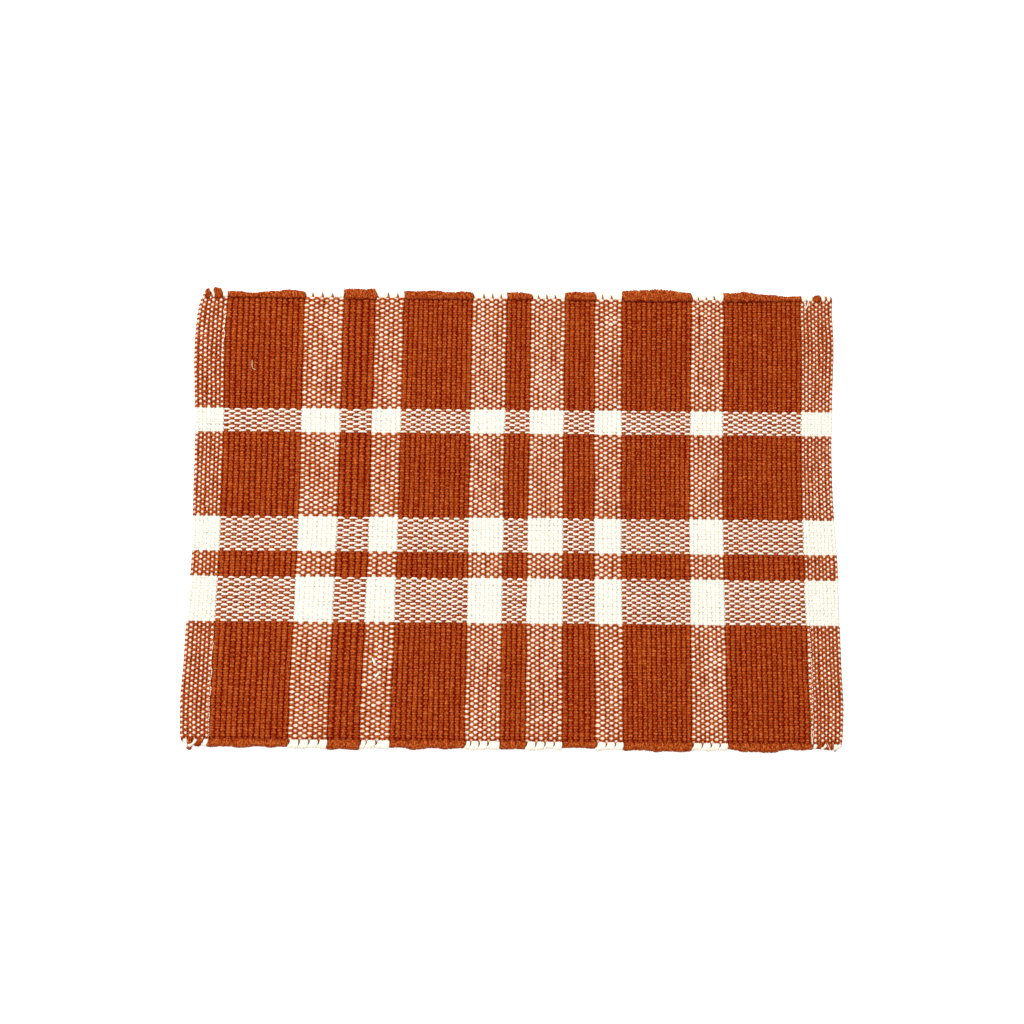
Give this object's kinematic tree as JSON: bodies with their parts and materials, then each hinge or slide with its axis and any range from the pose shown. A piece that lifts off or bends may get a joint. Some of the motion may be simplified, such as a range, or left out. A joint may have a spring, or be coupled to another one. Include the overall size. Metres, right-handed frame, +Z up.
{
  "type": "fabric placemat",
  "caption": "A ribbed, plain-woven cotton placemat that lies flat, with a plaid of rust and white and rolled warp ends along both long edges.",
  "frame": {"origin": "the middle of the cloth's box, on the surface that it lies on", "axes": "+Z up, +X along the cloth's width, +Y from the diner's side towards the far side, along the ribs"},
  "size_m": [0.4794, 0.3488, 0.004],
  "materials": {
    "rust_cotton": "thick soft cotton yarn, matte",
    "white_cotton": "thick soft cotton yarn, matte"
  },
  "bodies": {
    "root": {"woven_cloth": "rust_cotton"}
  },
  "joints": []
}
